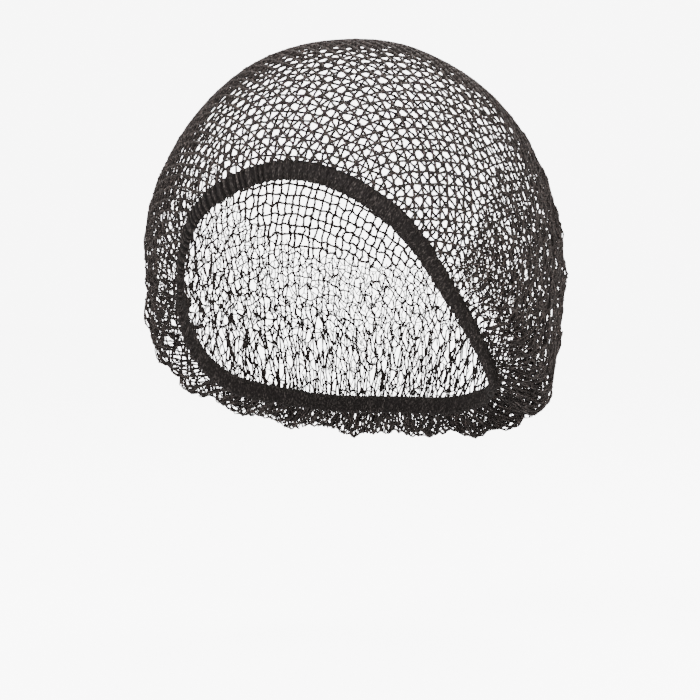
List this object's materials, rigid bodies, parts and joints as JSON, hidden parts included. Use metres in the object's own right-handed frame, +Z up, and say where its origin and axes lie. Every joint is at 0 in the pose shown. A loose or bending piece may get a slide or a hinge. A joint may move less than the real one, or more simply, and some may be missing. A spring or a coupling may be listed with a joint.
{
  "type": "hairnet",
  "caption": "Coarse black hairnet in its worn form: an open, gathered net cap on a ribbed elastic band that sits high on the brow and low on the nape.",
  "frame": {"origin": "centre of the elastic band's loop, where the net is held by the head it sits on", "axes": "+Z up as worn, -Y the way the face looks, +X towards the wearer's left ear"},
  "size_m": [0.2073, 0.2082, 0.2032],
  "materials": {
    "net_thread": "dark brown-black crimped nylon thread, softly fuzzy, low sheen",
    "elastic": "black ribbed elastic, matte and slightly fuzzy"
  },
  "bodies": {
    "root": {"net": "net_thread", "elastic_band": "elastic"}
  },
  "joints": []
}
